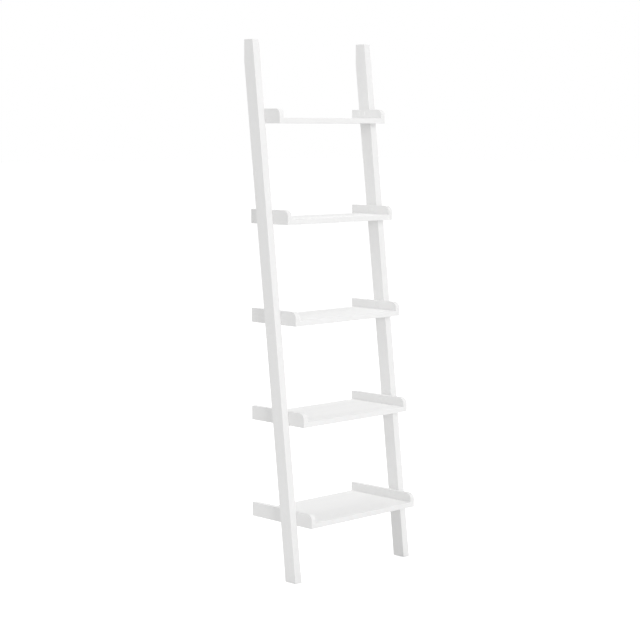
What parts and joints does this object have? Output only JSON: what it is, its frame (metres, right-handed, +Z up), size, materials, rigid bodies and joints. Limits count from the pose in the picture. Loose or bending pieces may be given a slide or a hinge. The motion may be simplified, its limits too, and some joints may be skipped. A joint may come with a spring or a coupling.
{
  "type": "ladder shelf",
  "caption": "Leaning ladder shelf: two sloping rails against the wall carry open trays that grow deeper towards the floor.",
  "frame": {"origin": "on the floor, midway between the rails and midway between the lowest tray's front and the wall", "axes": "+X to the right seen from the front, the front faces -Y, the wall is on the +Y side, +Z up"},
  "size_m": [0.556, 0.291, 1.8],
  "materials": {
    "painted_wood": "white satin paint",
    "dowel_wood": "bare beech",
    "zinc_steel": "zinc plated",
    "white_plastic": "matte white",
    "insert_brass": "turned",
    "pad_rubber": "matte pale grey"
  },
  "bodies": {
    "root": {"left_rail": "painted_wood", "right_rail": "painted_wood", "shelf_board_1": "painted_wood", "shelf_board_2": "painted_wood", "shelf_board_3": "painted_wood", "shelf_board_4": "painted_wood", "shelf_board_5": "painted_wood", "left_cheek_1": "painted_wood", "left_cheek_2": "painted_wood", "left_cheek_3": "painted_wood", "left_cheek_4": "painted_wood", "left_cheek_5": "painted_wood", "right_cheek_1": "painted_wood", "right_cheek_2": "painted_wood", "right_cheek_3": "painted_wood", "right_cheek_4": "painted_wood", "right_cheek_5": "painted_wood", "board_dowels_1": "dowel_wood", "board_dowels_2": "dowel_wood", "board_dowels_3": "dowel_wood", "board_dowels_4": "dowel_wood", "board_dowels_5": "dowel_wood", "tray_bolts_1": "zinc_steel", "tray_bolts_2": "zinc_steel", "tray_bolts_3": "zinc_steel", "tray_bolts_4": "zinc_steel", "tray_bolts_5": "zinc_steel", "bolt_covers_1": "white_plastic", "bolt_covers_2": "white_plastic", "bolt_covers_3": "white_plastic", "bolt_covers_4": "white_plastic", "bolt_covers_5": "white_plastic", "left_inserts": "insert_brass", "right_inserts": "insert_brass", "left_foot_pad": "pad_rubber", "right_foot_pad": "pad_rubber", "left_wall_hanger": "zinc_steel", "right_wall_hanger": "zinc_steel", "left_hanger_screws": "zinc_steel", "right_hanger_screws": "zinc_steel"}
  },
  "joints": []
}
